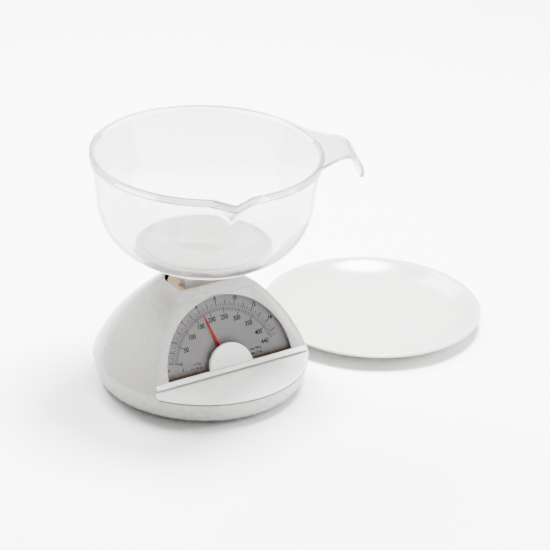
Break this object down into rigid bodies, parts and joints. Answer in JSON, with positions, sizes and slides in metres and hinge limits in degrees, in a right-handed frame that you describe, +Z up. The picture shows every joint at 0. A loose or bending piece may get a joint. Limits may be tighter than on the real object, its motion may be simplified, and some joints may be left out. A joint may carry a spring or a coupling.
{
  "type": "kitchen scale",
  "caption": "Small mechanical kitchen scale: white housing with a slanted half-round dial and red pointer, clear pouring bowl with handle, and a shallow dish beside it.",
  "frame": {"origin": "on the table, under the middle of the set (scale with its bowl, and the dish beside it)", "axes": "+Z up, the dial faces -Y, the dish stands to the scale's right at +X"},
  "size_m": [0.3092, 0.1758, 0.17],
  "materials": {
    "white_plastic": "off-white moulded plastic, satin gloss",
    "apron_plastic": "off-white moulded plastic, satin gloss",
    "clear_plastic": "clear styrene with a faint violet edge",
    "dish_plastic": "off-white moulded plastic, glossy",
    "dial_silver": "silver grey printed sheet, satin",
    "pointer_red": "red enamel",
    "acetal_grey": "moulded",
    "brass": "machined",
    "zinc_sheet": "zinc plated sheet",
    "bright_steel": "bright",
    "foot_rubber": "matt"
  },
  "bodies": {
    "base": {"base_plate": "white_plastic", "base_screw_left_1": "bright_steel", "base_screw_left_2": "bright_steel", "base_screw_right_1": "bright_steel", "base_screw_right_2": "bright_steel", "bracket_screw_1": "bright_steel", "bracket_screw_2": "bright_steel", "dial_bezel": "white_plastic", "dial_plate": "dial_silver", "dial_window": "clear_plastic", "frame_screw_1": "bright_steel", "frame_screw_2": "bright_steel", "frame_screw_3": "bright_steel", "frame_screw_4": "bright_steel", "front_apron": "apron_plastic", "front_bush": "brass", "gear_bracket": "zinc_sheet", "housing": "white_plastic", "hub_cover": "white_plastic", "lower_pivot_pin": "bright_steel", "mechanism_frame": "zinc_sheet", "rear_bush": "brass", "rubber_foot_1": "foot_rubber", "rubber_foot_2": "foot_rubber", "rubber_foot_3": "foot_rubber", "rubber_foot_4": "foot_rubber", "upper_pivot_pin": "bright_steel"},
    "lower_lever": {"lower_lever": "zinc_sheet", "crank_pin": "bright_steel", "post_lower_pin": "bright_steel"},
    "upper_lever": {"upper_lever": "zinc_sheet", "post_upper_pin": "bright_steel"},
    "post": {"platform_post": "white_plastic", "platform": "white_plastic"},
    "rack": {"rack": "acetal_grey"},
    "pointer": {"pointer": "pointer_red", "pointer_shaft": "bright_steel", "pinion": "brass"},
    "spring_anchor": {"spring_anchor": "brass", "main_spring": "bright_steel"},
    "zero_knob": {"zero_knob": "white_plastic", "zero_screw": "bright_steel"},
    "bowl": {"bowl": "clear_plastic"},
    "dish": {"dish": "dish_plastic"}
  },
  "joints": [
    {"name": "lever_hinge", "type": "hinge", "parent": "base", "child": "lower_lever", "pos_m": [-0.0766, 0.03069, 0.018], "axis": [1, 0, 0], "range_deg": [-3.23, 4.79], "stiffness_Nm_per_rad": 1.0495, "springref_deg": -5.74, "deforming": ["main_spring"]},
    {"name": "upper_lever_hinge", "type": "hinge", "parent": "base", "child": "upper_lever", "pos_m": [-0.0766, 0.03069, 0.05], "axis": [1, 0, 0], "range_deg": [-4.6, 6.7]},
    {"name": "post_hinge", "type": "hinge", "parent": "lower_lever", "child": "post", "pos_m": [-0.0766, -0.00331, 0.018], "axis": [1, 0, 0], "range_deg": [-6.7, 4.6]},
    {"name": "rack_slide", "type": "slide", "parent": "base", "child": "rack", "axis": [0, 0.4399, 0.898], "range_m": [-0.0063, 0.0043]},
    {"name": "pointer_turn", "type": "hinge", "parent": "base", "child": "pointer", "pos_m": [-0.0766, -0.04181, 0.0255], "axis": [0, -0.898, 0.4399], "range_deg": [-125, 85]},
    {"name": "zero_knob_turn", "type": "hinge", "parent": "base", "child": "zero_knob", "pos_m": [-0.0826, 0.05969, 0.0285], "axis": [0, 1, 0], "range_deg": [-800, 800]},
    {"name": "anchor_slide", "type": "slide", "parent": "base", "child": "spring_anchor", "axis": [0, 1, 0], "range_m": [-0.00052, 0.00052]},
    {"name": "bowl_lift", "type": "slide", "parent": "post", "child": "bowl", "axis": [0, 0, 1], "range_m": [0, 0.12]},
    {"name": "dish_lift", "type": "slide", "parent": "base", "child": "dish", "axis": [0, 0, 1], "range_m": [0, 0.1]}
  ],
  "couplings": [
    {"joint": "upper_lever_hinge", "follows": "lever_hinge", "ratio": 1},
    {"joint": "post_hinge", "follows": "lever_hinge", "ratio": -1},
    {"joint": "rack_slide", "follows": "lever_hinge", "m_per_rad": -0.054406},
    {"joint": "pointer_turn", "follows": "lever_hinge", "ratio": -18.136},
    {"joint": "zero_knob_turn", "follows": "anchor_slide", "rad_per_m": 8976}
  ]
}
